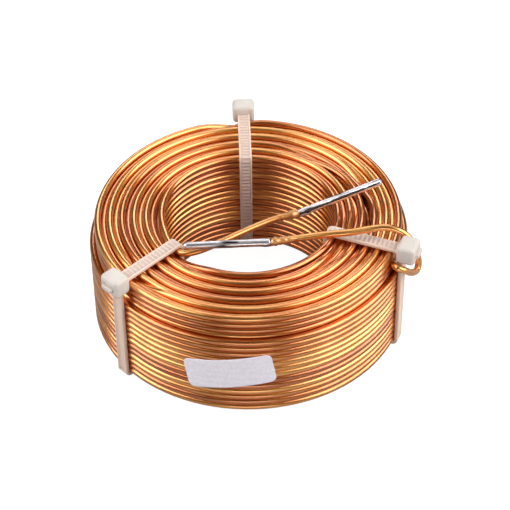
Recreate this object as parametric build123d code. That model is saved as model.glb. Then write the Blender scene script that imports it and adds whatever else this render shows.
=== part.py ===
from build123d import *
import os
from math import cos, radians, sin, sqrt

# Air-core loudspeaker crossover inductor, in millimetres.
# The origin is on the coil's axis, in the plane that the coil stands on, and +Z is up.
# Angles are in degrees about the axis, anticlockwise from +X as seen from above.

# Wire
copper_diameter = 1.50
enamel_thickness = 0.03

# Winding: each layer lies in the grooves of the layer beneath it, half a pitch along
turn_pitch = 1.60
layer_turn_count = 16
layer_count = 12
last_layer_turn_count = 13
bore_diameter = 38.4

# The rows below the step are drawn as fewer, broader ridges, and the bore and the underside plain
step_ridge_count = 6
groove_depth = 0.42

# Cable ties: the strap goes round the coil's section and out through its own head
strap_width = 3.2
strap_thickness = 0.9
strap_gap = 0.05
strap_corner_radius = 1.5
head_width = 5.2
head_depth = 4.2
head_height = 4.6
head_chamfer = 0.8
slot_clearance = 0.15
pawl_length = 1.6
tail_stub = 0.7
tie_directions = {"tie_left": 225.0, "tie_back": 91.5, "tie_right": 338.0}
tie_offsets = {"tie_left": -3.6, "tie_back": 0.0, "tie_right": 0.0}
head_overlaps = {"tie_left": 1.25, "tie_back": 1.25, "tie_right": 0.45}

# Sticker on the outer wall, a little aslant
label_length = 19.4
label_height = 8.2
label_thickness = 0.12
label_corner_radius = 1.4
label_gap = 0.03
label_angle = 263.0
label_middle = 11.45
label_slope = 10.0

# Stripped and tinned ends of the leads: the solder starts a little way along the bare copper,
# which is rooted in the end of the enamelled wire
solder_thickness = 0.10
solder_gap = 0.02
solder_start = 0.20
root_depth = 0.16

# Inner lead: distance from the bore wall, angle, and height above the coil's top
inner_lead_start = (2.1, 206.0, -1.40)
inner_lead_bend = [(-0.1, 223.7, -0.76), (-1.8, 229.9, -0.20), (-4.1, 232.8, 0.20)]
inner_lead_stripped = (-6.68, 346.85, 2.40)
inner_lead_tip = (11.3, 12.1, 3.20)

# Outer lead: distance from the outer wall, angle past the right tie, and height above the top
outer_lead_start = (-3.0, -9.0, -3.40)
outer_lead_loop = [
    (1.5, -4.5, -3.10),
    (2.4, -0.9, -5.10),
    (3.0, 2.4, -6.80),
    (3.5, 4.4, -6.80),
    (3.3, 5.4, -5.40),
    (1.4, 5.8, 1.45),
    (0.2, 5.5, 2.50),
]
# The rest of it: distance from the bore wall, angle past the right tie, and height above the top
outer_lead_run = [(11.3, 3.7, 2.90), (2.8, -6.5, 2.70)]
outer_lead_stripped = (-5.1, -48.5, 2.80)
outer_lead_tip = (0.7, -113.0, 2.70)

# Sizes that follow
copper_radius = copper_diameter / 2
wire_radius = copper_radius + enamel_thickness
half_pitch = turn_pitch / 2
layer_pitch = sqrt((2 * wire_radius) ** 2 - half_pitch**2)
bore_radius = bore_diameter / 2
coil_base = strap_thickness + strap_gap
coil_top = coil_base + (layer_turn_count - 1) * turn_pitch + half_pitch + 2 * wire_radius
coil_radius = bore_radius + 2 * wire_radius + (layer_count - 1) * layer_pitch


def layer_radius(layer):
    """Radius of a layer's wire centres; layer 1 lines the bore."""
    return bore_radius + wire_radius + (layer - 1) * layer_pitch


def turn_height(layer, turn):
    """Height of a turn's wire centre; odd layers lie half a pitch higher than even ones."""
    lift = half_pitch if layer % 2 else 0.0
    return coil_base + wire_radius + lift + (turn - 1) * turn_pitch


def near_wall(wall_radius, place):
    """Point at a distance from a wall, an angle and a height above the coil's top."""
    reach, angle, lift = place
    radius = wall_radius + reach
    return Vector(radius * cos(radians(angle)), radius * sin(radians(angle)), coil_top + lift)


def near_right_tie(wall_radius, place):
    """The same, with the angle counted from the right tie."""
    reach, angle, lift = place
    return near_wall(wall_radius, (reach, tie_directions["tie_right"] + angle, lift))


def wall_ridges(layer, first, last, count):
    """Crests and grooves up a layer's outer wall, spread over its turns from first to last."""
    crest = layer_radius(layer) + wire_radius
    base = turn_height(layer, first)
    step = (turn_height(layer, last) - base) / (count - 1)
    points = [(crest, base)]
    for ridge in range(1, count):
        points.append((crest - groove_depth, base + (ridge - 0.5) * step))
        points.append((crest, base + ridge * step))
    return points


def winding_section():
    """Half section of the winding, from the bore over the top and down the outer wall."""
    under = layer_count - 1
    exposed = layer_turn_count - last_layer_turn_count
    ledge = turn_height(layer_count, last_layer_turn_count) + wire_radius
    foot = layer_radius(layer_count) + wire_radius - groove_depth
    points = [(layer_radius(2), coil_base), (bore_radius, turn_height(1, 1))]
    points += [(bore_radius, turn_height(1, layer_turn_count))]
    points += [
        (layer_radius(layer), turn_height(layer, layer_turn_count) + wire_radius)
        for layer in range(1, layer_count)
    ]
    points += reversed(wall_ridges(under, last_layer_turn_count + 1, layer_turn_count, exposed))
    points += [(layer_radius(under) + wire_radius - groove_depth, ledge - groove_depth)]
    points += [(layer_radius(layer_count), ledge)]
    points += reversed(wall_ridges(layer_count, 1, last_layer_turn_count, step_ridge_count))
    points += [(foot, coil_base)]
    return points


def make_ring():
    """The wound ring, turned from its section."""
    outline = Polyline(*[(radius, 0, height) for radius, height in winding_section()], close=True)
    return revolve(make_face(outline), Axis.Z, 360)


def rod(radius, length):
    """Round rod along +Z from the origin."""
    return Pos(0, 0, length / 2) * Cylinder(radius, length)


def wire_along(points):
    """Insulated wire along a route, its bends drawn as short mitred runs."""
    path = Polyline(*points)
    start = Plane(origin=path @ 0, z_dir=path % 0)
    return sweep(start * Circle(wire_radius), path=path, transition=Transition.RIGHT)


def inner_lead_points():
    """Route of the first layer's lead: out of the top turn and over the bore, stripped from its last bend."""
    places = [inner_lead_start] + inner_lead_bend + [inner_lead_stripped, inner_lead_tip]
    return [near_wall(bore_radius, place) for place in places]


def outer_lead_points():
    """Route of the last layer's lead: out beside a tie, round its head and back over the coil."""
    loop = [near_right_tie(coil_radius, place) for place in [outer_lead_start] + outer_lead_loop]
    places = outer_lead_run + [outer_lead_stripped, outer_lead_tip]
    return loop + [near_right_tie(bore_radius, place) for place in places]


def along_end(points, start, end, radius):
    """Rod on a lead's stripped end, from a distance past its enamel to a distance past its tip."""
    stripped, tip = points[-2:]
    length = (tip - stripped).length + end - start
    base = Plane(origin=stripped, z_dir=tip - stripped)
    return base.location * Pos(0, 0, start) * rod(radius, length)


def make_winding():
    """The whole length of wire: the ring of turns and both leads."""
    winding = make_ring()
    for points in (inner_lead_points(), outer_lead_points()):
        winding += wire_along(points[:-1])
        winding += along_end(points, -root_depth, 0, copper_radius)
    return winding


def make_solder(points):
    """Coat of solder over the stripped end of a lead."""
    hole = copper_radius + solder_gap
    coat = along_end(points, solder_start, solder_gap + solder_thickness, hole + solder_thickness)
    return coat - along_end(points, 0, solder_gap, hole)


def make_tie(direction, offset, head_overlap):
    """One cable tie, moulded in one piece and drawn tight round the coil's section."""
    edge_far = abs(offset) + strap_width / 2
    edge_near = max(0.0, abs(offset) - strap_width / 2)
    bore_side = sqrt((bore_radius - strap_gap) ** 2 - edge_far**2)
    wall_side = sqrt((coil_radius + strap_gap) ** 2 - edge_near**2)
    low = coil_base - strap_gap
    high = coil_top + strap_gap
    span = wall_side - bore_side
    rise = high - low
    outside = RectangleRounded(span + 2 * strap_thickness, rise + 2 * strap_thickness, strap_corner_radius)
    band = extrude(Plane.XZ * (outside - Rectangle(span, rise)), strap_width / 2, both=True)
    band = Pos((bore_side + wall_side) / 2, 0, (low + high) / 2) * band
    strap_level = high + strap_thickness / 2
    head_start = wall_side - head_overlap
    head_end = head_start + head_depth
    corner_length = head_end + tail_stub - wall_side
    corner = Box(corner_length, head_width, head_height, align=(Align.MIN, Align.CENTER, Align.CENTER))
    head = chamfer(Box(head_depth, head_width, head_height).edges(), head_chamfer)
    slot_height = strap_thickness + 2 * slot_clearance
    head -= Box(2 * head_depth, strap_width + 2 * slot_clearance, slot_height)
    head += Box(pawl_length, strap_width, slot_height)
    tail_length = head_depth + 2 * tail_stub
    tail = Box(tail_length, strap_width, strap_thickness)
    tie = band - Pos(wall_side, 0, strap_level) * corner
    tie += Pos((head_start + head_end) / 2, 0, strap_level) * (head + tail)
    return Rot(0, 0, direction) * Pos(0, offset, 0) * tie


def make_label():
    """Paper sticker that lies round the outer wall."""
    near = coil_radius + label_gap
    outline = RectangleRounded(label_length, label_height, label_corner_radius)
    outline = Rot(0, 0, label_slope) * outline
    wall = Plane(origin=(0, 0, coil_base + label_middle), x_dir=(0, 1, 0), z_dir=(1, 0, 0))
    prism = extrude(wall * outline, 2 * near)
    sheet = Cylinder(near + label_thickness, 4 * coil_top) - Cylinder(near, 4 * coil_top)
    return Rot(0, 0, label_angle) * (prism & sheet)


def make_parts():
    """Every node by name."""
    parts = {
        "winding": make_winding(),
        "inner_lead_solder": make_solder(inner_lead_points()),
        "outer_lead_solder": make_solder(outer_lead_points()),
        "label": make_label(),
    }
    for name, direction in tie_directions.items():
        parts[name] = make_tie(direction, tie_offsets[name], head_overlaps[name])
    return parts


os.makedirs("parts", exist_ok=True)
for name, shape in make_parts().items():
    export_step(shape, f"parts/{name}.step")
    print(name, "solids", len(shape.solids()), "valid", shape.is_valid, "volume", round(shape.volume, 1))
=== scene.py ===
"""Air-core inductor for a loudspeaker crossover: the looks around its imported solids, in metres."""

import logging
import math
from dataclasses import dataclass, field
from enum import Enum

import bmesh
import bpy
from mathutils import Matrix, Vector, noise


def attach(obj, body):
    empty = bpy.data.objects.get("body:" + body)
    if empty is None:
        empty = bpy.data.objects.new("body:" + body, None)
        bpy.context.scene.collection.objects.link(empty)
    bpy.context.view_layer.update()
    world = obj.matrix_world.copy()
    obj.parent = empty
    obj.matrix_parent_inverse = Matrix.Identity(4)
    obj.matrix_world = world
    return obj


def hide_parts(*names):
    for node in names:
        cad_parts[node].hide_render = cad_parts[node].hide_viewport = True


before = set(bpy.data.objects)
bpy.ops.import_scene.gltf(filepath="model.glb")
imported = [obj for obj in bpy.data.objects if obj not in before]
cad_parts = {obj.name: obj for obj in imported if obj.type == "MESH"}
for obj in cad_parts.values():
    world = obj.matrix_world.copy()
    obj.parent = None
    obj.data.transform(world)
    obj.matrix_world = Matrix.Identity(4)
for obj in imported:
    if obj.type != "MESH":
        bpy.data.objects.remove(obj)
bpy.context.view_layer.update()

log = logging.getLogger("inductor")

Tree = bpy.types.NodeTree
Node = bpy.types.Node
Socket = bpy.types.NodeSocket
Triple = tuple[float, float, float]
Face = tuple[int, ...]

MM = 0.001
BODY = "root"

# Sizes are in millimetres and angles in degrees. Azimuths run anticlockwise from +X, as seen from above.
STRAP_THICKNESS = 0.9
STRAP_WIDTH = 2.85
SNUG = 0.05

# How far each span of wire runs before its crossing
RUN_IN = 350.0

# Start of the vector noise, which otherwise comes from the clock, so that each run gives the same wire
NOISE_SEED = 7

# For each tie's node: its azimuth, its offset to the side, and how far its head reaches in over the coil
TIES = {
    "tie_left": (225.0, -3.6, 1.25),
    "tie_back": (91.5, 0.0, 1.25),
    "tie_right": (338.0, 0.0, 0.45),
}

# The inner lead over the bore: x, y, and height above the coil's top
INNER_LEAD_OVER_BORE = ((6.2, -4.6, 1.95), (0.7, -7.0, 1.35), (-5.4, -10.2, 0.62))

# The same lead as it leaves its turn: distance from the bore wall, azimuth, and height above the top
INNER_LEAD_AT_WALL = (
    (-4.1, 232.8, 0.20),
    (-2.3, 228.4, -0.20),
    (-0.3, 222.0, -0.70),
    (0.45, 214.0, -0.76),
    (0.25, 205.0, -0.76),
    (-0.05, 196.0, -0.73),
)

# The outer lead up the wall, round the right tie's head and over the coil: distance out along that tie,
# distance across it, and height
OUTER_LEAD = (
    (34.67, 2.42, 22.3),
    (34.75, 0.00, 23.6),
    (34.80, -2.10, 24.7),
    (35.90, -3.10, 24.9),
    (36.90, -2.75, 24.5),
    (37.55, -1.90, 23.6),
    (38.00, -0.70, 22.3),
    (38.35, 0.70, 21.2),
    (38.60, 2.00, 20.5),
    (38.70, 3.00, 20.45),
    (38.70, 3.55, 21.2),
    (38.50, 3.60, 22.8),
    (38.00, 3.42, 24.8),
    (37.15, 3.35, 27.0),
    (36.20, 3.22, 28.6),
    (35.10, 3.05, 29.6),
    (33.70, 2.85, 30.25),
    (32.00, 2.50, 30.65),
    (30.30, 1.95, 30.65),
    (28.75, 1.15, 30.55),
    (24.65, -1.40, 30.30),
    (19.80, -3.90, 30.15),
    (16.25, -6.10, 30.12),
    (12.20, -8.75, 30.12),
)


class Slot(Enum):
    """The record's material slots."""

    WIRE = "enamelled_copper"
    NYLON = "nylon"
    SOLDER = "solder"
    PAPER = "paper"


def linear(code: str) -> tuple[float, float, float, float]:
    """Turn an sRGB hex value into a linear colour.

    Args:
        code: The colour as "#RRGGBB".

    Returns:
        Red, green, blue and an alpha of 1.
    """
    channels = [int(code[i : i + 2], 16) / 255 for i in (1, 3, 5)]
    return (*[c / 12.92 if c <= 0.04045 else ((c + 0.055) / 1.055) ** 2.4 for c in channels], 1.0)


def add_node(tree: Tree, kind: str, inputs: dict | None = None, **settings) -> Node:
    """Add one node with its settings and its links.

    Args:
        tree: The node tree.
        kind: The node's Blender type.
        inputs: For each input's name or number, a value or the socket that feeds it.
        settings: The node's own properties.

    Returns:
        The new node.
    """
    node = tree.nodes.new(kind)
    for name, value in settings.items():
        setattr(node, name, value)
    for key, value in (inputs or {}).items():
        if isinstance(value, Socket):
            tree.links.new(value, node.inputs[key])
        else:
            node.inputs[key].default_value = value
    return node


def set_inputs(node: Node, values: dict[str, object]) -> None:
    """Set a node's own sockets to uniform values."""
    for name, value in values.items():
        node.inputs[name].default_value = value


def ramp(tree: Tree, fac: Socket, stops: list[tuple[float, str]]) -> Socket:
    """Colour a value by its stops.

    Args:
        tree: The node tree.
        fac: The value's socket.
        stops: Each stop's place, from 0 to 1, and its colour as "#RRGGBB".

    Returns:
        The colour's socket.
    """
    node = add_node(tree, "ShaderNodeValToRGB", {"Fac": fac})
    elements = node.color_ramp.elements
    for element, (position, code) in zip(elements, (stops[0], stops[-1])):
        element.position, element.color = position, linear(code)
    for position, code in stops[1:-1]:
        elements.new(position).color = linear(code)
    return node.outputs["Color"]


def new_material(name: str) -> tuple[bpy.types.Material, Tree, Node]:
    """Start a material with a Principled shader.

    Args:
        name: What the real material is.

    Returns:
        The material, its tree and its shader.
    """
    material = bpy.data.materials.new(name)
    material.use_nodes = True
    tree = material.node_tree
    return material, tree, tree.nodes["Principled BSDF"]


@dataclass(frozen=True)
class EnamelledCopper:
    """Magnet wire: drawn copper under a clear, amber polyurethane enamel that is dipped and baked.

    The copper shines through in orange, the enamel adds a narrow white gloss, and each turn was
    stretched a little differently, so that its tone differs.
    """

    name: str = "enamelled copper wire"
    pale: str = "#F2B060"
    middle: str = "#DC883A"
    deep: str = "#B05A20"
    scorched: str = "#D29A5C"
    mottle: float = 0.35
    roughness: float = 0.24
    scorch_roughness: float = 0.25
    line_roughness: float = 0.08
    coat_weight: float = 1.0
    coat_roughness: float = 0.12
    coat_ior: float = 1.75
    coat_tint: str = "#FFF4E2"
    die_line: float = 0.35
    die_line_length: float = 14.0
    patch: float = 6.0
    relief: float = 0.06
    relief_depth: float = 0.03

    def build(self) -> bpy.types.Material:
        """Make the material, with lines from the drawing die along the wire.

        Returns:
            The finished material.
        """
        material, tree, shader = new_material(self.name)
        along, tone, scorch = (
            add_node(tree, "ShaderNodeAttribute", attribute_name=name).outputs[socket]
            for name, socket in (("along_wire", "Vector"), ("tone", "Fac"), ("scorch", "Fac"))
        )
        across, lengthways = 1 / (self.die_line * MM), 1 / (self.die_line_length * MM)
        drawn = add_node(tree, "ShaderNodeMapping", {"Vector": along, "Scale": (across, across, lengthways)})
        place = {"Vector": drawn.outputs[0], "Scale": 1.0, "Detail": 3.0}
        lines = add_node(tree, "ShaderNodeTexNoise", place).outputs["Fac"]
        coords = add_node(tree, "ShaderNodeTexCoord").outputs["Object"]
        place = {"Vector": coords, "Scale": 1 / (self.patch * MM), "Detail": 2.0}
        patches = add_node(tree, "ShaderNodeTexNoise", place).outputs["Fac"]
        mixed = add_node(tree, "ShaderNodeMath", {0: lines, 1: patches}, operation="ADD").outputs[0]
        terms = {0: mixed, 1: self.mottle, 2: tone}
        shade = add_node(tree, "ShaderNodeMath", terms, operation="MULTIPLY_ADD")
        colour = ramp(tree, shade.outputs[0], [(0.45, self.deep), (0.85, self.middle), (1.0, self.pale)])
        blend = {"Factor": scorch, 6: colour, 7: linear(self.scorched)}
        burnt = add_node(tree, "ShaderNodeMix", blend, data_type="RGBA")
        tree.links.new(burnt.outputs[2], shader.inputs["Base Color"])
        terms = {0: scorch, 1: self.scorch_roughness, 2: self.roughness}
        dull = add_node(tree, "ShaderNodeMath", terms, operation="MULTIPLY_ADD")
        terms = {0: lines, 1: self.line_roughness, 2: dull.outputs[0]}
        rough = add_node(tree, "ShaderNodeMath", terms, operation="MULTIPLY_ADD")
        tree.links.new(rough.outputs[0], shader.inputs["Roughness"])
        height = {"Height": mixed, "Strength": self.relief, "Distance": self.relief_depth * MM}
        bump = add_node(tree, "ShaderNodeBump", height)
        tree.links.new(bump.outputs[0], shader.inputs["Normal"])
        enamel = {
            "Coat Weight": self.coat_weight,
            "Coat Roughness": self.coat_roughness,
            "Coat IOR": self.coat_ior,
            "Coat Tint": linear(self.coat_tint),
        }
        set_inputs(shader, {"Metallic": 1.0, **enamel})
        return material


@dataclass(frozen=True)
class TinnedCopper:
    """Solder over a stripped wire end: bright where it flowed, with dull flux and oxide in streaks.

    A dark seam runs along one side of the end.
    """

    name: str = "tinned copper"
    bright: str = "#E6E2E6"
    grey: str = "#B4AEB0"
    flux_and_seam_dark: str = "#2B2422"
    # How far out from the middle line, towards the seam's side, the seam starts and is at its darkest
    seam_start: float = 0.80
    seam_full: float = 0.85
    streak: float = 0.9
    streak_length: float = 7.0
    dull_roughness: float = 0.5
    bright_roughness: float = 0.28
    relief: float = 0.4
    relief_depth: float = 0.15

    def build(self, knee: Vector, axis: Vector, seam_side: Vector, seam_depth: float) -> bpy.types.Material:
        """Make the material for one lead's end.

        Args:
            knee: A point on the end's middle line.
            axis: The direction of that end, which the streaks follow.
            seam_side: The direction that the seam faces.
            seam_depth: How dark the seam is, from 0 to about 0.6.

        Returns:
            The finished material.
        """
        material, tree, shader = new_material(self.name)
        coords = add_node(tree, "ShaderNodeTexCoord").outputs["Object"]
        turn = axis.to_track_quat("X", "Z").to_euler()
        placed = {"Vector": coords, "Location": tuple(knee * MM), "Rotation": turn}
        lying = add_node(tree, "ShaderNodeMapping", placed, vector_type="TEXTURE")
        across, lengthways = 1 / (self.streak * MM), 1 / (self.streak_length * MM)
        stretched = {"Vector": lying.outputs[0], "Scale": (lengthways, across, across)}
        drawn = add_node(tree, "ShaderNodeMapping", stretched)
        place = {"Vector": drawn.outputs[0], "Scale": 1.0, "Detail": 4.0}
        streaks = add_node(tree, "ShaderNodeTexNoise", place).outputs["Fac"]
        from_knee = add_node(tree, "ShaderNodeVectorMath", {0: coords, 1: tuple(knee * MM)}, operation="SUBTRACT")
        sides = {0: from_knee.outputs[0], 1: tuple(seam_side)}
        side = add_node(tree, "ShaderNodeVectorMath", sides, operation="DOT_PRODUCT")
        # Darken a narrow band on the side that seam_side faces
        limits = {1: self.seam_start * MM, 2: self.seam_full * MM, 3: 0.0, 4: seam_depth}
        seam_darkening = add_node(tree, "ShaderNodeMapRange", {"Value": side.outputs["Value"], **limits})
        clean = add_node(tree, "ShaderNodeMath", {0: streaks, 1: seam_darkening.outputs[0]}, operation="SUBTRACT")
        colour = ramp(tree, clean.outputs[0], [(0.34, self.flux_and_seam_dark), (0.42, self.grey), (0.50, self.bright)])
        tree.links.new(colour, shader.inputs["Base Color"])
        limits = {1: 0.36, 2: 0.55, 3: self.dull_roughness, 4: self.bright_roughness}
        rough = add_node(tree, "ShaderNodeMapRange", {"Value": streaks, **limits})
        tree.links.new(rough.outputs[0], shader.inputs["Roughness"])
        height = {"Height": streaks, "Strength": self.relief, "Distance": self.relief_depth * MM}
        bump = add_node(tree, "ShaderNodeBump", height)
        tree.links.new(bump.outputs[0], shader.inputs["Normal"])
        set_inputs(shader, {"Metallic": 1.0})
        return material


@dataclass(frozen=True)
class NaturalNylon:
    """Moulded nylon 6/6 without pigment: milky and slightly translucent, with a satin skin.

    Where it is thin, as in the strap, a painted glow of the copper under it is mixed into its colour, in place of
    the copper's light showing through.
    """

    name: str = "natural nylon"
    milky: str = "#DFD8D1"
    ivory: str = "#D9CEC5"
    # Painted glow: the copper's light through thin nylon, painted into the colour
    painted_copper_glow: str = "#FBD9C6"
    roughness: float = 0.38
    skin_roughness: float = 0.12
    ior: float = 1.53
    scattered: float = 0.4
    scatter_colour: Triple = (1.0, 0.8, 0.6)
    scatter_depth: float = 1.2
    let_through: float = 0.1
    cloud: float = 3.0
    skin: float = 0.35
    relief: float = 0.15
    relief_depth: float = 0.05

    def build(self) -> bpy.types.Material:
        """Make the material.

        Returns:
            The finished material.
        """
        material, tree, shader = new_material(self.name)
        coords = add_node(tree, "ShaderNodeTexCoord").outputs["Object"]
        place = {"Vector": coords, "Scale": 1 / (self.cloud * MM), "Detail": 3.0}
        clouds = add_node(tree, "ShaderNodeTexNoise", place)
        colour = ramp(tree, clouds.outputs["Fac"], [(0.3, self.ivory), (0.7, self.milky)])
        # Mix in the painted glow of the copper under thin nylon
        thin = add_node(tree, "ShaderNodeAttribute", attribute_name="thin").outputs["Fac"]
        blend = {"Factor": thin, 6: colour, 7: linear(self.painted_copper_glow)}
        painted_glow_mix = add_node(tree, "ShaderNodeMix", blend, data_type="RGBA")
        tree.links.new(painted_glow_mix.outputs[2], shader.inputs["Base Color"])
        place = {"Vector": coords, "Scale": 1 / (self.skin * MM), "Detail": 2.0}
        skin = add_node(tree, "ShaderNodeTexNoise", place).outputs["Fac"]
        height = {"Height": skin, "Strength": self.relief, "Distance": self.relief_depth * MM}
        bump = add_node(tree, "ShaderNodeBump", height)
        tree.links.new(bump.outputs[0], shader.inputs["Normal"])
        terms = {0: skin, 1: self.skin_roughness, 2: self.roughness}
        rough = add_node(tree, "ShaderNodeMath", terms, operation="MULTIPLY_ADD")
        tree.links.new(rough.outputs[0], shader.inputs["Roughness"])
        body = {
            "IOR": self.ior,
            "Subsurface Weight": self.scattered,
            "Subsurface Radius": self.scatter_colour,
            "Subsurface Scale": self.scatter_depth * MM,
            "Transmission Weight": self.let_through,
        }
        set_inputs(shader, body)
        return material


@dataclass(frozen=True)
class LabelPaper:
    """Coated label paper: white with a cool cast, matt, its fibres only just visible."""

    name: str = "label paper"
    white: str = "#FAF4FC"
    cool: str = "#EEE6F2"
    roughness: float = 0.62
    fibre: float = 0.6
    relief: float = 0.1
    relief_depth: float = 0.03

    def build(self) -> bpy.types.Material:
        """Make the material.

        Returns:
            The finished material.
        """
        material, tree, shader = new_material(self.name)
        coords = add_node(tree, "ShaderNodeTexCoord").outputs["Object"]
        place = {"Vector": coords, "Scale": 1 / (self.fibre * MM), "Detail": 5.0}
        fibres = add_node(tree, "ShaderNodeTexNoise", place).outputs["Fac"]
        colour = ramp(tree, fibres, [(0.3, self.cool), (0.65, self.white)])
        tree.links.new(colour, shader.inputs["Base Color"])
        height = {"Height": fibres, "Strength": self.relief, "Distance": self.relief_depth * MM}
        bump = add_node(tree, "ShaderNodeBump", height)
        tree.links.new(bump.outputs[0], shader.inputs["Normal"])
        set_inputs(shader, {"Roughness": self.roughness})
        return material


def new_piece(name: str, mesh: bpy.types.Mesh) -> bpy.types.Object:
    """Put a mesh into the scene as a piece, at the origin."""
    piece = bpy.data.objects.new(name, mesh)
    bpy.context.scene.collection.objects.link(piece)
    return piece


def mesh_from(name: str, points: list[Vector], faces: list[Face], smooth: bool = True) -> bpy.types.Mesh:
    """Make a closed mesh from points in millimetres, its faces turned outwards.

    Args:
        name: The mesh's name.
        points: The corners, in millimetres.
        faces: The corners of each face.
        smooth: Whether it is shaded smooth.

    Returns:
        The mesh, in metres.
    """
    mesh = bpy.data.meshes.new(name)
    mesh.from_pydata([tuple(p * MM) for p in points], [], faces)
    solid = bmesh.new()
    solid.from_mesh(mesh)
    bmesh.ops.recalc_face_normals(solid, faces=solid.faces)
    for face in solid.faces:
        face.smooth = smooth
    solid.to_mesh(mesh)
    solid.free()
    return mesh


def tube_faces(rings: int, sides: int, closed: bool = False) -> list[Face]:
    """List the faces of a tube of rings of points.

    Args:
        rings: How many rings it has.
        sides: How many points are in each ring.
        closed: Whether its last ring joins its first, instead of a cap at each end.

    Returns:
        The corners of each face.
    """
    faces = []
    for i in range(rings if closed else rings - 1):
        a, b = i * sides, (i + 1) % rings * sides
        faces += [(a + j, a + (j + 1) % sides, b + (j + 1) % sides, b + j) for j in range(sides)]
    if not closed:
        faces += [tuple(range(sides)), tuple(range((rings - 1) * sides, rings * sides))]
    return faces


def apply_nodes(name: str, carrier: bpy.types.Mesh, tree: Tree, values: dict[str, object]) -> bpy.types.Object:
    """Run a Geometry Nodes tree on a mesh and keep its result as a plain piece.

    Args:
        name: The piece's name.
        carrier: The mesh that the tree reads.
        tree: The tree.
        values: A value for each named input.

    Returns:
        The piece, with no modifier left.
    """
    carried = new_piece(name + "_route", carrier)
    modifier = carried.modifiers.new("nodes", "NODES")
    modifier.node_group = tree
    items = tree.interface.items_tree
    sockets = {item.name: item.identifier for item in items if item.item_type == "SOCKET"}
    for label, value in values.items():
        modifier[sockets[label]] = value
    graph = bpy.context.evaluated_depsgraph_get()
    mesh = bpy.data.meshes.new_from_object(carried.evaluated_get(graph), depsgraph=graph)
    carried.modifiers.remove(modifier)
    bpy.data.objects.remove(carried)
    mesh.name = name
    return new_piece(name, mesh)


def start_tree(name: str, inputs: dict[str, str]) -> tuple[Tree, Node]:
    """Start a Geometry Nodes tree with named inputs.

    Args:
        name: The tree's name.
        inputs: The socket type of each named input.

    Returns:
        The tree and its input node.
    """
    tree = bpy.data.node_groups.new(name, "GeometryNodeTree")
    tree.interface.new_socket("Geometry", in_out="INPUT", socket_type="NodeSocketGeometry")
    for label, kind in inputs.items():
        tree.interface.new_socket(label, in_out="INPUT", socket_type=kind)
    tree.interface.new_socket("Geometry", in_out="OUTPUT", socket_type="NodeSocketGeometry")
    return tree, add_node(tree, "NodeGroupInput")


def end_tree(tree: Tree, geometry: Socket, finish: Socket) -> Tree:
    """Realise the instances, set the material and close the tree.

    Args:
        tree: The tree.
        geometry: What it has made.
        finish: The material.

    Returns:
        The same tree.
    """
    real = add_node(tree, "GeometryNodeRealizeInstances", {"Geometry": geometry})
    dressed = add_node(tree, "GeometryNodeSetMaterial", {"Geometry": real.outputs[0], "Material": finish})
    add_node(tree, "NodeGroupOutput", {0: dressed.outputs[0]})
    return tree


def wire_tree() -> Tree:
    """Build the tree that draws round wire along its route.

    Returns:
        The tree, which leaves the place on the wire in the attribute along_wire.
    """
    inputs = {"Wire radius": "NodeSocketFloat", "Sides": "NodeSocketInt", "Finish": "NodeSocketMaterial"}
    tree, given = start_tree("drawn wire", inputs)
    route = add_node(tree, "GeometryNodeMeshToCurve", {"Mesh": given.outputs["Geometry"]})
    place = add_node(tree, "GeometryNodeSplineParameter")
    marked = add_node(tree, "GeometryNodeCaptureAttribute", {"Geometry": route.outputs[0]})
    marked.capture_items.new("FLOAT", "Length")
    tree.links.new(place.outputs["Length"], marked.inputs["Length"])
    round_wire = {"Resolution": given.outputs["Sides"], "Radius": given.outputs["Wire radius"]}
    circle = add_node(tree, "GeometryNodeCurvePrimitiveCircle", round_wire)
    rim = add_node(tree, "GeometryNodeCaptureAttribute", {"Geometry": circle.outputs["Curve"]})
    rim.capture_items.new("VECTOR", "Rim")
    tree.links.new(add_node(tree, "GeometryNodeInputPosition").outputs[0], rim.inputs["Rim"])
    fat = add_node(tree, "GeometryNodeInputNamedAttribute", {"Name": "fatness"}, data_type="FLOAT")
    sweep = {"Curve": marked.outputs[0], "Profile Curve": rim.outputs[0], "Scale": fat.outputs[0]}
    sweep["Fill Caps"] = True
    drawn = add_node(tree, "GeometryNodeCurveToMesh", sweep)
    edge = add_node(tree, "ShaderNodeSeparateXYZ", {0: rim.outputs["Rim"]})
    spot = {0: edge.outputs[0], 1: edge.outputs[1], 2: marked.outputs["Length"]}
    along = add_node(tree, "ShaderNodeCombineXYZ", spot)
    kept = {"Geometry": drawn.outputs[0], "Name": "along_wire", "Value": along.outputs[0]}
    stored = add_node(tree, "GeometryNodeStoreNamedAttribute", kept, data_type="FLOAT_VECTOR")
    smooth = add_node(tree, "GeometryNodeSetShadeSmooth", {"Geometry": stored.outputs[0]})
    return end_tree(tree, smooth.outputs[0], given.outputs["Finish"])


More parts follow.
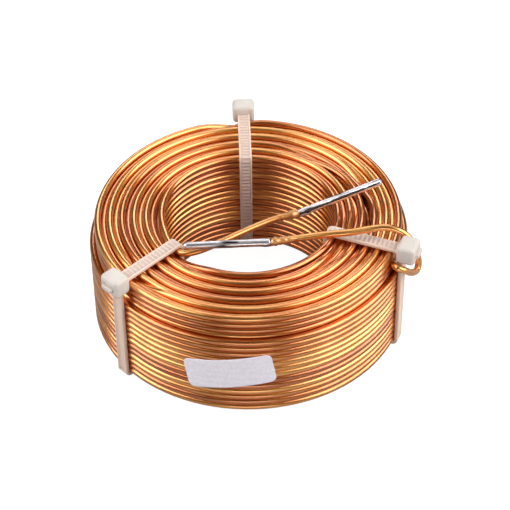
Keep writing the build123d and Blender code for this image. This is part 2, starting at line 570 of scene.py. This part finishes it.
def ladder_tree() -> Tree:
    """Build the tree that sets teeth along a strap.

    Returns:
        The tree: each tooth stands on the route, square to it and to the direction across it.
    """
    inputs = {
        "Tooth": "NodeSocketObject",
        "Tooth pitch": "NodeSocketFloat",
        "Across": "NodeSocketVector",
        "Finish": "NodeSocketMaterial",
    }
    tree, given = start_tree("strap teeth", inputs)
    route = add_node(tree, "GeometryNodeMeshToCurve", {"Mesh": given.outputs["Geometry"]})
    spacing = {"Curve": route.outputs[0], "Length": given.outputs["Tooth pitch"]}
    points = add_node(tree, "GeometryNodeCurveToPoints", spacing, mode="LENGTH")
    sides = {0: points.outputs["Tangent"], 1: given.outputs["Across"]}
    outward = add_node(tree, "ShaderNodeVectorMath", sides, operation="CROSS_PRODUCT")
    upright = add_node(tree, "FunctionNodeAlignRotationToVector", {"Vector": outward.outputs[0]}, axis="Z")
    facing = {"Rotation": upright.outputs[0], "Vector": points.outputs["Tangent"]}
    turned = add_node(tree, "FunctionNodeAlignRotationToVector", facing, axis="X", pivot_axis="Z")
    tooth = add_node(tree, "GeometryNodeObjectInfo", {"Object": given.outputs["Tooth"]})
    copies = {
        "Points": points.outputs["Points"],
        "Instance": tooth.outputs["Geometry"],
        "Rotation": turned.outputs[0],
    }
    set_on = add_node(tree, "GeometryNodeInstanceOnPoints", copies)
    return end_tree(tree, set_on.outputs[0], given.outputs["Finish"])


@dataclass(frozen=True)
class RoutePoint:
    """A place on the wire's centre line, with what the wire is like there."""

    place: Vector
    tone: float = 0.5
    fatness: float = 1.0
    scorch: float = 0.0


@dataclass(frozen=True)
class Move:
    """Where the wire leaves its ring, by the angle that it has travelled to the middle of the move."""

    at: float
    half: float
    out: float = 0.0
    up: float = 0.0
    lift: float = 0.0

    def shift(self, travel: float) -> tuple[float, float]:
        """Tell how far the wire has moved.

        Args:
            travel: The angle that it has travelled.

        Returns:
            How far it is out, and how far up.
        """
        share = min(max((travel - self.at) / (2 * self.half) + 0.5, 0.0), 1.0)
        bump = math.sin(math.pi * share) ** 2
        ease = share * share * (3 - 2 * share)
        return self.out * ease, self.up * ease + self.lift * bump


@dataclass(frozen=True)
class Span:
    """A stretch of wound wire that shows, followed clockwise from where it starts."""

    start: float
    radius: float
    height: float
    travel: float
    moves: tuple[Move, ...]
    seed: int


def smooth_route(corners: list[Vector], step: float) -> list[Vector]:
    """Run a smooth line through its corners.

    Args:
        corners: The points that it passes, in millimetres.
        step: The distance between the points given back.

    Returns:
        Points on a centripetal Catmull-Rom curve, with both ends.
    """
    ends = [corners[0] * 2 - corners[1], *corners, corners[-1] * 2 - corners[-2]]
    route = []
    for p0, p1, p2, p3 in zip(ends, ends[1:], ends[2:], ends[3:]):
        t1 = math.sqrt((p1 - p0).length)
        t2 = t1 + math.sqrt((p2 - p1).length)
        t3 = t2 + math.sqrt((p3 - p2).length)
        count = max(2, round((p2 - p1).length / step))
        for i in range(count):
            t = t1 + (t2 - t1) * i / count
            a1, a2 = p0.lerp(p1, t / t1), p1.lerp(p2, (t - t1) / (t2 - t1))
            a3 = p2.lerp(p3, (t - t2) / (t3 - t2))
            b1, b2 = a1.lerp(a2, t / t2), a2.lerp(a3, (t - t1) / (t3 - t1))
            route.append(b1.lerp(b2, (t - t1) / (t2 - t1)))
    return [*route, corners[-1]]


@dataclass
class Winding:
    """The one length of wire: every turn that shows, and both leads up to where they are tinned.

    Each layer lies in the grooves of the one beneath, so odd layers stand half a pitch higher.
    The wire runs clockwise outwards, down the odd layers and up the even ones.
    """

    copper_diameter: float = 1.50
    enamel: float = 0.03
    pitch: float = 1.60
    turns: int = 16
    layers: int = 12
    last_turns: int = 13
    bore_radius: float = 19.2
    base: float = STRAP_THICKNESS + SNUG
    sides: int = 12
    step: float = 3.75
    lead_step: float = 0.45
    uneven: float = 0.05
    burnt_length: float = 5.6
    lumpy: float = 0.42
    right_tie: float = TIES["tie_right"][0]
    # Half of the angle that the wire takes to step to its next turn
    half_step: float = 15.0
    # Where the bore's turns step down, behind the left strap, as the angle past the inner lead
    bore_step: float = 322.0
    # How many turns of each layer are drawn at the top and at the foot
    top_depth: int = 2
    foot_depth: int = 1
    # Where each lead's enamel ends and where its tip is: distance from the bore wall, azimuth (the
    # outer lead's counts from the right tie), and height above the top
    inner_ends: tuple[Triple, Triple] = ((-6.68, 346.85, 2.40), (11.3, 12.1, 3.20))
    outer_ends: tuple[Triple, Triple] = ((-5.1, -48.5, 2.80), (0.7, -113.0, 2.70))
    finish: EnamelledCopper = field(default_factory=EnamelledCopper)
    # Azimuth at which each even layer's top turn climbs to the next layer, and the odd ones' below,
    # with the angle that half of the crossing takes
    top_crossings: dict[int, tuple[float, float]] = field(
        default_factory=lambda: {
            2: (314.0, 18.0),
            4: (42.0, 18.0),
            6: (14.0, 14.0),
            8: (221.0, 8.0),
            10: (91.0, 9.0),
        }
    )
    foot_crossings: dict[int, tuple[float, float]] = field(
        default_factory=lambda: {3: (250.0, 16.0), 5: (40.0, 16.0), 7: (300.0, 14.0), 9: (120.0, 12.0)}
    )

    @property
    def wire_radius(self) -> float:
        """Radius of the wire over its enamel."""
        return self.copper_diameter / 2 + self.enamel

    @property
    def layer_pitch(self) -> float:
        """Distance from one layer to the next, nested."""
        return math.sqrt(4 * self.wire_radius**2 - self.pitch**2 / 4)

    @property
    def top(self) -> float:
        """Height of the coil's top."""
        return self.height(1, self.turns) + self.wire_radius

    @property
    def radius(self) -> float:
        """Outer radius of the coil."""
        return self.layer_radius(self.layers) + self.wire_radius

    def layer_radius(self, layer: int) -> float:
        """Radius of a layer's wire centres."""
        return self.bore_radius + self.wire_radius + (layer - 1) * self.layer_pitch

    def height(self, layer: int, turn: int) -> float:
        """Height of a turn's wire centre."""
        return self.base + self.wire_radius + (self.pitch / 2 if layer % 2 else 0.0) + (turn - 1) * self.pitch

    def near(self, wall: float, reach: float, azimuth: float, height: float) -> Vector:
        """Point at a distance from a wall, an azimuth and a height."""
        angle = math.radians(azimuth)
        return Vector(((wall + reach) * math.cos(angle), (wall + reach) * math.sin(angle), height))

    def spans(self) -> list[Span]:
        """List the stretches that show on the top and the underside, as deep as the gaps let one see.

        Returns:
            For each pair of layers that the wire joins at an end face, its last turns there.
        """
        spans = []
        for layer, (azimuth, half) in {**self.top_crossings, **self.foot_crossings}.items():
            at_top = layer % 2 == 0
            sense, deep = (1, self.top_depth) if at_top else (-1, self.foot_depth)
            row = self.turns - deep if at_top else 1 + deep
            # The wire goes two turns further down where the outermost layer leaves the wall bare
            below = deep + 2 if layer == self.layers - 2 else deep
            slack = 1.2 * half
            moves = [Move(360 * i + slack, half, up=sense * self.pitch) for i in range(deep)]
            moves.append(Move(360 * deep, half, self.layer_pitch, sense * self.pitch / 2, 0.2 * sense))
            moves += [Move(360 * (deep + 1 + i) - slack, half, up=-sense * self.pitch) for i in range(below)]
            place = (azimuth + RUN_IN, self.layer_radius(layer), self.height(layer, row))
            spans.append(Span(*place, RUN_IN + 360 * (deep + below), tuple(moves), layer))
        return spans

    def wound(self, span: Span) -> list[RoutePoint]:
        """Follow one span round the coil, a little unevenly.

        Args:
            span: The span; its moves count the angle from its crossing.

        Returns:
            The wire's centre line there.
        """
        route = []
        count = round(span.travel / self.step)
        for i in range(count + 1):
            travel = span.travel * i / count
            shifts = [move.shift(travel - RUN_IN) for move in span.moves]
            angle = math.radians(span.start - travel)
            turning = Vector((math.cos(angle), math.sin(angle), 0.0))
            probe = turning * 1.3 + Vector((0, 0, span.seed * 7.7 + travel / 360 * 0.9))
            sway, bob = noise.noise(probe), noise.noise(probe + Vector((31.7, 5.3, 2.1)))
            radius = span.radius + sum(s[0] for s in shifts) + self.uneven * sway
            height = span.height + sum(s[1] for s in shifts) + self.uneven * bob
            tone = 0.5 + 0.5 * noise.noise(Vector((span.seed * 3.1, travel / 360, 0.5)))
            route.append(RoutePoint(turning * radius + Vector((0, 0, height)), tone))
        return route

    def inner_end(self) -> list[Vector]:
        """Place the end of the inner lead's enamel, and its tip."""
        return [self.near(self.bore_radius, r, a, self.top + h) for r, a, h in self.inner_ends]

    def outer_end(self) -> list[Vector]:
        """Place the end of the outer lead's enamel, and its tip."""
        return [self.near(self.bore_radius, r, self.right_tie + a, self.top + h) for r, a, h in self.outer_ends]

    def stripped(self, corners: list[Vector], knee_first: bool) -> list[RoutePoint]:
        """Run a lead through its corners, its enamel scorched and lumpy next to the tinned end.

        Args:
            corners: The lead's corners.
            knee_first: Whether its first corner is the tinned end, instead of its last.

        Returns:
            The lead's route.
        """
        route = smooth_route(corners, self.lead_step)
        knee = route[0] if knee_first else route[-1]
        points = []
        for place in route:
            near = max(0.0, 1 - (place - knee).length / self.burnt_length)
            burnt = min(1.0, 3.0 * near)
            lump = 0.30 + 0.9 * noise.noise(place * 1.2) + 1.1 * noise.noise(place * 3.1)
            aside = noise.noise_vector(place * 2.3) * 0.12 * burnt
            points.append(RoutePoint(place + aside, 0.62, 1 + self.lumpy * burnt * lump, burnt))
        return points

    def inner_route(self) -> list[RoutePoint]:
        """Follow the wire from the inner lead, down the bore and round the foot of the second layer.

        Returns:
            The wire's centre line, from its tinned end.
        """
        lead = [self.inner_end()[0]]
        lead += [Vector((x, y, self.top + lift)) for x, y, lift in INNER_LEAD_OVER_BORE]
        lead += [self.near(self.bore_radius, r, a, self.top + lift) for r, a, lift in INNER_LEAD_AT_WALL]
        reach, start, _ = INNER_LEAD_AT_WALL[-1]
        half, foot = self.half_step, self.bore_step + 360 * (self.turns - 1)
        moves = [Move(40, 40, out=0.83)]
        moves += [Move(self.bore_step + 360 * i, half, up=-self.pitch) for i in range(self.turns - 1)]
        moves.append(Move(foot, half, out=self.layer_pitch, up=-self.pitch / 2))
        moves.append(Move(foot + 348, half, up=self.pitch))
        counted = tuple(Move(m.at - RUN_IN, m.half, m.out, m.up) for m in moves)
        travel, top_turn = 360.0 * self.turns + 600, self.height(1, self.turns)
        wall = Span(start, self.bore_radius + reach, top_turn, travel, counted, 1)
        return self.stripped(lead, True)[:-1] + self.wound(wall)

    def outer_route(self) -> list[RoutePoint]:
        """Follow the wire from the foot of the last layers, up the outer wall and out as the lead.

        Returns:
            The wire's centre line, to its tinned end.
        """
        half, cross = self.half_step, 68.0
        moves = [Move(0, half, up=-self.pitch), Move(360, half, out=self.layer_pitch, up=-self.pitch / 2)]
        moves += [Move(720 + 360 * i, half, up=self.pitch) for i in range(self.last_turns)]
        layer, travel = self.layers - 1, 360.0 * (self.last_turns + 1) + RUN_IN + 80
        start = (cross + RUN_IN, self.layer_radius(layer), self.height(layer, 2))
        wall = self.wound(Span(*start, travel, tuple(moves), layer))
        turn = Matrix.Rotation(math.radians(self.right_tie), 3, "Z")
        lead = [turn @ Vector(place) for place in OUTER_LEAD]
        return wall + self.stripped([wall[-1].place, *lead, self.outer_end()[0]], False)[1:]

    def carrier(self, routes: list[list[RoutePoint]]) -> bpy.types.Mesh:
        """Lay the routes out as edges that carry the wire's attributes.

        Args:
            routes: Each stretch of the wire.

        Returns:
            A mesh of edges.
        """
        mesh = bpy.data.meshes.new("wire_route")
        points = [point for route in routes for point in route]
        edges, first = [], 0
        for route in routes:
            edges += [(first + i, first + i + 1) for i in range(len(route) - 1)]
            first += len(route)
        mesh.from_pydata([tuple(point.place * MM) for point in points], edges, [])
        for label in ("tone", "fatness", "scorch"):
            values = [getattr(point, label) for point in points]
            mesh.attributes.new(label, "FLOAT", "POINT").data.foreach_set("value", values)
        return mesh

    def build(self) -> bpy.types.Object:
        """Draw the wire and dress it.

        Returns:
            The winding's piece.
        """
        routes = [self.wound(span) for span in self.spans()] + [self.inner_route(), self.outer_route()]
        values = {"Wire radius": self.wire_radius * MM, "Sides": self.sides, "Finish": self.finish.build()}
        piece = apply_nodes("wound_wire", self.carrier(routes), wire_tree(), values)
        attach(piece, BODY)
        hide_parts("winding")
        return piece


@dataclass
class TinnedEnd:
    """The soldered end of one lead, thicker and lumpy where the solder gathered."""

    name: str
    node: str
    knee: Vector
    tip: Vector
    seed: int
    # How far before the bend the solder starts
    early: float = 0.0
    # How far above level the dark seam faces, and how dark it is
    seam_angle: float = 8.0
    seam_depth: float = 0.05
    radius: float = 0.86
    nose: float = 0.9
    blunt: float = 0.12
    gathered: float = 0.16
    sides: int = 20
    step: float = 0.25
    finish: TinnedCopper = field(default_factory=TinnedCopper)

    def build(self) -> bpy.types.Object:
        """Make the end and dress it.

        Returns:
            The end's piece.
        """
        axis = self.tip - self.knee
        length, along = axis.length, axis.normalized()
        side = along.cross(Vector((0, 0, 1))).normalized()
        up = side.cross(along)
        neck = length - self.nose
        stations = [self.step * i - self.early for i in range(int((neck + self.early) / self.step))]
        stations += [length - self.nose * (1 - math.sin(math.radians(a))) for a in range(0, 90, 15)]
        stations.append(length - 0.005)
        points = []
        for at in stations:
            past = max(0.0, (at - neck) / self.nose)
            round_off = math.sqrt(max(0.0, 1 - past**2)) if past < 0.99 else self.blunt
            gather = self.gathered * math.exp(-(((at - 0.9) / 0.9) ** 2))
            for j in range(self.sides):
                turn = 2 * math.pi * j / self.sides
                outward = side * math.cos(turn) + up * math.sin(turn)
                lump = 0.045 * noise.noise(outward * 0.9 + Vector((at * 0.55, self.seed, 0)))
                lump += 0.02 * noise.noise(outward * 2.5 + Vector((at * 1.9, 0, self.seed)))
                sag = gather * (0.6 - 0.4 * math.sin(turn))
                points.append(self.knee + along * at + outward * (self.radius + lump + sag) * round_off)
        mesh = mesh_from(self.name, points, tube_faces(len(stations), self.sides))
        # The dark seam goes on the level side that faces −Y, tilted up by seam_angle
        lean, level = math.radians(self.seam_angle), side if side.y < 0 else -side
        seam_side = level * math.cos(lean) + up * math.sin(lean)
        mesh.materials.append(self.finish.build(self.knee, along, seam_side, self.seam_depth))
        piece = new_piece(self.name, mesh)
        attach(piece, BODY)
        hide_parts(self.node)
        return piece


@dataclass
class CableTie:
    """One cable tie, drawn tight round the coil's section and cut off short beyond its head."""

    node: str
    direction: float
    offset: float
    head_overlap: float
    coil: Winding
    head_size: tuple[float, float, float] = (4.2, 5.2, 4.6)
    shoulder: float = 0.95
    stub: float = 0.7
    corner: float = 1.05
    tooth_pitch: float = 1.0
    tooth_height: float = 0.20
    channel: float = 1.0
    channel_depth: float = 0.22
    slot_gap: float = 0.15
    # How much painted glow of the copper under each part goes into its colour: strap, head, tail and teeth
    painted_glow_by_part: tuple[float, ...] = (0.85, 0.0, 0.2, 0.85)

    @property
    def turn(self) -> Matrix:
        """Turn from +X to the tie's azimuth."""
        return Matrix.Rotation(math.radians(self.direction), 3, "Z")

    @property
    def wall(self) -> float:
        """Distance out to the inside of the strap on the outer wall."""
        return math.sqrt((self.coil.radius + SNUG) ** 2 - max(0.0, abs(self.offset) - STRAP_WIDTH / 2) ** 2)

    @property
    def level(self) -> float:
        """Height of the strap's middle on top of the coil."""
        return self.coil.top + SNUG + STRAP_THICKNESS / 2

    def to_world(self, out: float, across: float, height: float) -> Vector:
        """Turn a place beside the tie into the coil's own frame."""
        return self.turn @ Vector((out, across + self.offset, height))

    def loop(self) -> list[tuple[float, float, float, float]]:
        """Follow the strap's middle line round the coil's section.

        Returns:
            For each station its distance out, its height, and the direction that faces away from the coil.
        """
        far = abs(self.offset) + STRAP_WIDTH / 2
        r = self.corner
        left = math.sqrt((self.coil.bore_radius - SNUG) ** 2 - far**2) - STRAP_THICKNESS / 2 + r
        right = self.wall + STRAP_THICKNESS / 2 - r
        low, high = STRAP_THICKNESS / 2 + r, self.level - r
        stations = []
        for x, z, first in ((right, low, -90), (right, high, 0), (left, high, 90), (left, low, 180)):
            for angle in range(first, first + 91, 15):
                a = math.radians(angle)
                stations.append((x + r * math.cos(a), z + r * math.sin(a), math.cos(a), math.sin(a)))
        filled = []
        for here, there in zip(stations, stations[1:] + stations[:1]):
            count = max(1, round(math.dist(here[:2], there[:2]) / 1.0))
            for i in range(count):
                filled.append(tuple(h + (t - h) * i / count for h, t in zip(here, there)))
        return filled

    def section(self) -> list[tuple[float, float]]:
        """Draw the strap's section, with its toothed channel outside.

        Returns:
            Points across the strap and away from the coil, from its middle.
        """
        w, t, e = STRAP_WIDTH / 2, STRAP_THICKNESS / 2, 0.16
        right = [(w - e, -t), (w - 0.05, -t + 0.05), (w, -t + e), (w, t - e), (w - 0.05, t - 0.05), (w - e, t)]
        right += [(self.channel + 0.12, t), (self.channel, t - self.channel_depth)]
        return right + [(-x, y) for x, y in reversed(right)]

    def strap(self) -> bpy.types.Mesh:
        """Sweep the strap round its loop.

        Returns:
            The strap's mesh.
        """
        section, points = self.section(), []
        for out, height, away, rise in self.loop():
            points += [self.to_world(out + away * n, across, height + rise * n) for across, n in section]
        faces = tube_faces(len(points) // len(section), len(section), True)
        return mesh_from(self.node + "_strap", points, faces)

    def tooth(self) -> bpy.types.Object:
        """Make one tooth: a low wedge across the channel, steep on the side that the pawl catches.

        Returns:
            The tooth, for the ladder's tree to copy.
        """
        long, wide, name = self.tooth_pitch * 0.42, self.channel * 0.96, self.node + "_tooth"
        points = [Vector((x, y, -0.03)) for x, y in ((-long, -wide), (long, -wide), (long, wide), (-long, wide))]
        near, far = long * 0.2, long * 0.8
        crest = ((near, -wide), (far, -wide), (far, wide), (near, wide))
        points += [Vector((x, y, self.tooth_height)) for x, y in crest]
        faces = [(0, 1, 2, 3), (4, 5, 6, 7), (0, 1, 5, 4), (1, 2, 6, 5), (2, 3, 7, 6), (3, 0, 4, 7)]
        return new_piece(name, mesh_from(name, points, faces, False))

    def teeth(self, finish: bpy.types.Material) -> bpy.types.Object:
        """Set the teeth along the top of the coil, down the bore and under the coil.

        Args:
            finish: The tie's material.

        Returns:
            The teeth, as one object.
        """
        depth = STRAP_THICKNESS / 2 - self.channel_depth
        inside = self.coil.radius - self.head_overlap
        stations = [s for s in self.loop() if not (s[0] > inside and s[3] >= 0) and s[2] < 0.99]
        start = max(range(len(stations)), key=lambda i: stations[i][0] if stations[i][3] > 0.99 else -1)
        route = [
            self.to_world(out + away * depth, 0, height + rise * depth)
            for out, height, away, rise in stations[start:] + stations[:start]
        ]
        mesh = bpy.data.meshes.new(self.node + "_ladder")
        mesh.from_pydata([tuple(p * MM) for p in route], [(i, i + 1) for i in range(len(route) - 1)], [])
        tooth, across = self.tooth(), tuple(self.turn @ Vector((0, -1, 0)))
        values = {"Tooth": tooth, "Tooth pitch": self.tooth_pitch * MM, "Across": across, "Finish": finish}
        piece = apply_nodes(self.node + "_teeth", mesh, ladder_tree(), values)
        bpy.data.objects.remove(tooth)
        return piece

    def head(self) -> bpy.types.Mesh:
        """Mould the head: a block with round shoulders and the mouth of its slot.

        Returns:
            The head's mesh.
        """
        middle = self.wall - self.head_overlap + self.head_size[0] / 2
        solid = bmesh.new()
        bmesh.ops.create_cube(solid, size=1.0)
        bmesh.ops.scale(solid, vec=self.head_size, verts=solid.verts)
        shoulders = {"offset": self.shoulder, "segments": 4, "profile": 0.5, "affect": "EDGES"}
        bmesh.ops.bevel(solid, geom=solid.edges[:], clamp_overlap=True, **shoulders)
        face = max(solid.faces, key=lambda f: f.calc_center_median().x)
        bmesh.ops.inset_region(solid, faces=[face], thickness=0.01)
        for vert in face.verts:
            vert.co.y = math.copysign(STRAP_WIDTH / 2 + self.slot_gap, vert.co.y)
            vert.co.z = math.copysign(STRAP_THICKNESS / 2 + self.slot_gap, vert.co.z)
        bmesh.ops.inset_region(solid, faces=[face], thickness=0.02, depth=-0.7)
        for f in solid.faces:
            f.smooth = True
        for vert in solid.verts:
            vert.co = self.to_world(middle + vert.co.x, vert.co.y, self.level + vert.co.z) * MM
        bmesh.ops.recalc_face_normals(solid, faces=solid.faces)
        mesh = bpy.data.meshes.new(self.node + "_head")
        solid.to_mesh(mesh)
        solid.free()
        return mesh

    def tail(self) -> bpy.types.Mesh:
        """Make the strap's cut end, which stands out of the head, and the part that enters it.

        Returns:
            The tail's mesh.
        """
        first = self.wall - self.head_overlap
        end = first + self.head_size[0] + self.stub
        w, t, e = STRAP_WIDTH / 2, STRAP_THICKNESS / 2, 0.14
        right = [(w - e, -t), (w, -t + e), (w, t - e), (w - e, t)]
        outline = right + [(-y, z) for y, z in reversed(right)]
        points = []
        for out, share in ((first + 1.0, 1), (end - 0.12, 1), (end, 0.86)):
            points += [self.to_world(out, y * share, self.level + z * share) for y, z in outline]
        return mesh_from(self.node + "_tail", points, tube_faces(3, len(outline)))

    def build(self) -> bpy.types.Object:
        """Make the whole tie as one piece and dress it.

        Returns:
            The tie's piece.
        """
        finish = NaturalNylon().build()
        parts = [new_piece(mesh.name, mesh) for mesh in (self.strap(), self.head(), self.tail())]
        parts.append(self.teeth(finish))
        for part in parts:
            part.data.materials.clear()
            part.data.materials.append(finish)
        # Each vertex's share of the painted copper glow, by part
        thin = [share for part, share in zip(parts, self.painted_glow_by_part) for _ in part.data.vertices]
        piece = join(parts, self.node.replace("tie", "cable_tie"))
        piece.data.attributes.new("thin", "FLOAT", "POINT").data.foreach_set("value", thin)
        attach(piece, BODY)
        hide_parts(self.node)
        return piece


def join(parts: list[bpy.types.Object], name: str) -> bpy.types.Object:
    """Join meshes that were moulded in one into one piece.

    Args:
        parts: The objects, all at the origin and of one material.
        name: The piece's name.

    Returns:
        The piece that holds them all.
    """
    whole = bmesh.new()
    for part in parts:
        whole.from_mesh(part.data)
    mesh = bpy.data.meshes.new(name)
    mesh.materials.append(parts[0].data.materials[0])
    whole.to_mesh(mesh)
    whole.free()
    for face in mesh.polygons:
        face.material_index = 0
    for part in parts:
        bpy.data.objects.remove(part)
    return new_piece(name, mesh)


@dataclass
class Label:
    """A paper sticker on the outer wall, a little aslant, that follows the turns under it."""

    coil: Winding
    length: float = 19.4
    tall: float = 8.2
    thickness: float = 0.12
    gap: float = 0.03
    corner: float = 1.4
    azimuth: float = 263.0
    middle: float = 11.45
    slope: float = 10.0
    # Half of how deep the paper sinks between two turns
    dip: float = 0.02
    columns: int = 64
    rows: int = 28

    def edge(self, share: float) -> float:
        """Give the half height at a share of the half length, with round corners."""
        reach = max(0.0, abs(share) * self.length / 2 - (self.length / 2 - self.corner))
        return self.tall / 2 - self.corner + math.sqrt(max(0.0, self.corner**2 - reach**2))

    def on_wall(self, x: float, y: float, layer: int) -> Vector:
        """Bend a place on the flat sticker round the wall.

        Args:
            x: How far it is along the sticker from its middle.
            y: How far it is up the sticker.
            layer: 0 on the sticker's back and 1 on its face.

        Returns:
            The place in the coil's own frame.
        """
        slope = math.radians(self.slope)
        run, rise = x * math.cos(slope) - y * math.sin(slope), x * math.sin(slope) + y * math.cos(slope)
        height = self.coil.base + self.middle + rise
        phase = (height - self.coil.height(self.coil.layers, 1)) / self.coil.pitch
        sink = self.dip * (1 - math.cos(2 * math.pi * phase))
        radius = self.coil.radius + self.gap - sink + layer * self.thickness
        angle = math.radians(self.azimuth) + run / self.coil.radius
        return Vector((radius * math.cos(angle), radius * math.sin(angle), height))

    def build(self) -> bpy.types.Object:
        """Make the sticker and dress it.

        Returns:
            The sticker's piece.
        """
        points = []
        for layer in (0, 1):
            for i in range(self.columns + 1):
                share = math.sin(math.pi / 2 * (2 * i / self.columns - 1))
                half = self.edge(share * 0.9999)
                for j in range(self.rows + 1):
                    points.append(self.on_wall(share * self.length / 2, half * (2 * j / self.rows - 1), layer))
        count, across = (self.columns + 1) * (self.rows + 1), self.rows + 1
        faces = []
        for i in range(self.columns):
            for a in range(i * across, i * across + self.rows):
                b, c, d = a + 1, a + across + 1, a + across
                faces += [(a, b, c, d), (count + a, count + d, count + c, count + b)]
        rim = [i * across for i in range(self.columns + 1)]
        rim += [self.columns * across + j for j in range(1, across)]
        rim += [i * across + self.rows for i in reversed(range(self.columns))]
        rim += list(reversed(range(1, self.rows)))
        faces += [(a, b, count + b, count + a) for a, b in zip(rim, rim[1:] + rim[:1])]
        mesh = mesh_from("paper_label", points, faces)
        mesh.materials.append(LabelPaper().build())
        piece = new_piece("paper_label", mesh)
        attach(piece, BODY)
        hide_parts("label")
        return piece


@dataclass(frozen=True)
class Softbox:
    """One soft lamp: where it hangs, clockwise from the camera's side, its size and its brightness."""

    name: str
    azimuth: float
    elevation: float
    distance: float
    size: tuple[float, float]
    brightness: float


@dataclass
class Studio:
    """White floor, soft lamps and the photograph's camera."""

    aim: tuple[float, float, float] = (1.42, 0.0, 14.51)
    elevation: float = 41.93
    distance: float = 405.4
    roll: float = 0.66
    focal_pixels: float = 1790.9
    frame_pixels: float = 510.0
    sensor: float = 36.0
    ambient: float = 0.10
    # How strongly the floor glows where it is seen, and the share of it that the metal and the nylon
    # see, low enough for dark grooves
    glow: float = 0.92
    mirrored: float = 0.1
    card: str = "#A6A6A6"
    floor_radius: float = 3000.0
    softboxes: tuple[Softbox, ...] = (
        Softbox("left", -80, 36, 800, (680, 860), 3.1),
        Softbox("right", 76, 35, 800, (940, 860), 3.4),
        Softbox("overhead", 176, 72, 800, (600, 400), 1.3),
        Softbox("rear", 180, 36, 800, (420, 200), 3.6),
        Softbox("front", 0, 3, 800, (400, 210), 3.8),
    )

    def camera(self) -> None:
        """Place the camera, with its small roll, at the photograph's angle."""
        data = bpy.data.cameras.new("camera")
        data.sensor_width = self.sensor
        data.lens = self.focal_pixels / self.frame_pixels * self.sensor
        data.clip_start, data.clip_end = 0.01, 20.0
        camera = bpy.data.objects.new("camera", data)
        bpy.context.scene.collection.objects.link(camera)
        e, roll = math.radians(self.elevation), math.radians(self.roll)
        ahead = Vector((0, math.cos(e), -math.sin(e)))
        right, up = Vector((1, 0, 0)), Vector((0, math.sin(e), math.cos(e)))
        across = right * math.cos(roll) - up * math.sin(roll)
        above = right * math.sin(roll) + up * math.cos(roll)
        turn = Matrix((across, above, -ahead)).transposed().to_4x4()
        camera.matrix_world = Matrix.Translation((Vector(self.aim) - ahead * self.distance) * MM) @ turn
        bpy.context.scene.camera = camera

    def lamps(self) -> None:
        """Hang the softboxes, each turned to the coil."""
        for box in self.softboxes:
            data = bpy.data.lights.new(box.name, "AREA")
            data.shape = "RECTANGLE"
            data.size, data.size_y = box.size[0] * MM, box.size[1] * MM
            data.energy = box.brightness * math.pi * data.size * data.size_y
            lamp = bpy.data.objects.new(box.name, data)
            bpy.context.scene.collection.objects.link(lamp)
            a, e = math.radians(box.azimuth), math.radians(box.elevation)
            away = Vector((math.sin(a) * math.cos(e), -math.cos(a) * math.cos(e), math.sin(e)))
            lamp.location = away * box.distance * MM
            lamp.rotation_euler = away.to_track_quat("Z", "Y").to_euler()

    def seen(self, tree: Tree) -> Socket:
        """Tell the floor how bright to look.

        Args:
            tree: The floor's material.

        Returns:
            1 for rays from the camera, and a share for those that gloss or a clear body sends on.
        """
        path = add_node(tree, "ShaderNodeLightPath").outputs
        rays = {0: path["Is Glossy Ray"], 1: path["Is Transmission Ray"]}
        sent_on = add_node(tree, "ShaderNodeMath", rays, operation="MAXIMUM").outputs[0]
        terms = {0: sent_on, 1: self.mirrored, 2: path["Is Camera Ray"]}
        return add_node(tree, "ShaderNodeMath", terms, operation="MULTIPLY_ADD", use_clamp=True).outputs[0]

    def world(self) -> None:
        """Light the room evenly, and show it white where it is seen."""
        world = bpy.data.worlds.new("studio")
        bpy.context.scene.world = world
        world.use_nodes = True
        tree = world.node_tree
        background = tree.nodes["Background"]
        background.inputs["Color"].default_value = linear("#FFFFFF")
        path = add_node(tree, "ShaderNodeLightPath")
        blend = {0: path.outputs["Is Camera Ray"], 2: self.ambient, 3: 1.0}
        strength = add_node(tree, "ShaderNodeMix", blend, data_type="FLOAT")
        tree.links.new(strength.outputs[0], background.inputs["Strength"])

    def floor(self) -> None:
        """Lay the white floor that keeps the coil's shadow."""
        angles, r = [math.radians(a) for a in range(0, 360, 6)], self.floor_radius * MM
        rim = [(r * math.cos(a), r * math.sin(a), 0.0) for a in angles]
        mesh = bpy.data.meshes.new("floor")
        mesh.from_pydata(rim, [], [tuple(range(len(rim)))])
        material = bpy.data.materials.new("white card")
        material.use_nodes = True
        tree = material.node_tree
        tree.nodes.clear()
        card = add_node(tree, "ShaderNodeBsdfDiffuse", {"Color": linear(self.card)})
        share = add_node(tree, "ShaderNodeMath", {0: self.seen(tree), 1: self.glow}, operation="MULTIPLY")
        white = {"Color": linear("#FFFFFF"), "Strength": share.outputs[0]}
        glow = add_node(tree, "ShaderNodeEmission", white)
        both = add_node(tree, "ShaderNodeAddShader", {0: card.outputs[0], 1: glow.outputs[0]})
        add_node(tree, "ShaderNodeOutputMaterial", {0: both.outputs[0]})
        mesh.materials.append(material)
        new_piece("floor", mesh)

    def build(self) -> None:
        """Set up the whole studio."""
        scene = bpy.context.scene
        scene.view_settings.view_transform = "Standard"
        self.camera()
        self.lamps()
        self.world()
        self.floor()


def main() -> None:
    """Build the inductor piece by piece, then its studio."""
    logging.basicConfig(level=logging.INFO, format="%(name)s: %(message)s")
    noise.seed_set(NOISE_SEED)
    coil = Winding()
    pieces = [coil.build()]
    inner = TinnedEnd("tinned_end_inner", "inner_lead_solder", *coil.inner_end(), 33, 1.3, 33.0, 0.6)
    outer = TinnedEnd("tinned_end_outer", "outer_lead_solder", *coil.outer_end(), 44)
    pieces += [inner.build(), outer.build()]
    pieces += [CableTie(node, *place, coil).build() for node, place in TIES.items()]
    pieces.append(Label(coil).build())
    for piece in pieces:
        piece.data.calc_loop_triangles()
        log.info("%s: %d triangles", piece.name, len(piece.data.loop_triangles))
    Studio().build()


if __name__ == "__main__":
    main()
